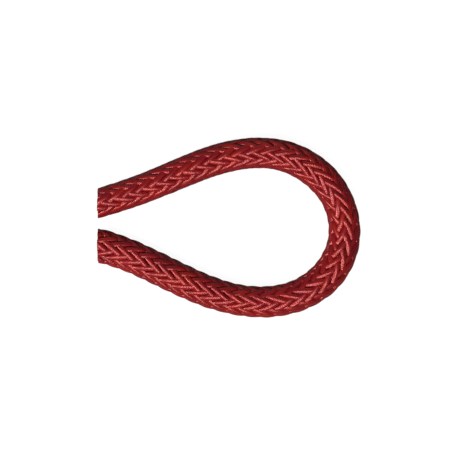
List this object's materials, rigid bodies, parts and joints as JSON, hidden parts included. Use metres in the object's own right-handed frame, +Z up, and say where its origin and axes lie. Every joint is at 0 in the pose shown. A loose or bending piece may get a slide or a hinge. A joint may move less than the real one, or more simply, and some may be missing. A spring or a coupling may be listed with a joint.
{
  "type": "rope eye",
  "caption": "Soft eye for a thimble or shackle: round braided rope with a core, bent into a flat teardrop loop whose legs are cut square side by side at the throat.",
  "frame": {"origin": "centre of the bounding box in plan, at the ground the rope lies on", "axes": "+X from the cut legs to the crown of the eye, +Y to the upper leg, +Z up from the ground; the rope's axis lies in one level plane"},
  "size_m": [0.1014, 0.0694, 0.0115],
  "materials": {
    "cover_yarn": "glossy dyed filament yarn",
    "core_yarn": "matte dyed yarn"
  },
  "bodies": {
    "root": {"core": "core_yarn", "left_strand_01": "cover_yarn", "right_strand_01": "cover_yarn", "left_strand_02": "cover_yarn", "right_strand_02": "cover_yarn", "left_strand_03": "cover_yarn", "right_strand_03": "cover_yarn", "left_strand_04": "cover_yarn", "right_strand_04": "cover_yarn", "left_strand_05": "cover_yarn", "right_strand_05": "cover_yarn", "left_strand_06": "cover_yarn", "right_strand_06": "cover_yarn", "left_strand_07": "cover_yarn", "right_strand_07": "cover_yarn", "left_strand_08": "cover_yarn", "right_strand_08": "cover_yarn", "left_strand_09": "cover_yarn", "right_strand_09": "cover_yarn", "left_strand_10": "cover_yarn", "right_strand_10": "cover_yarn", "left_strand_11": "cover_yarn", "right_strand_11": "cover_yarn", "left_strand_12": "cover_yarn", "right_strand_12": "cover_yarn"}
  },
  "joints": []
}
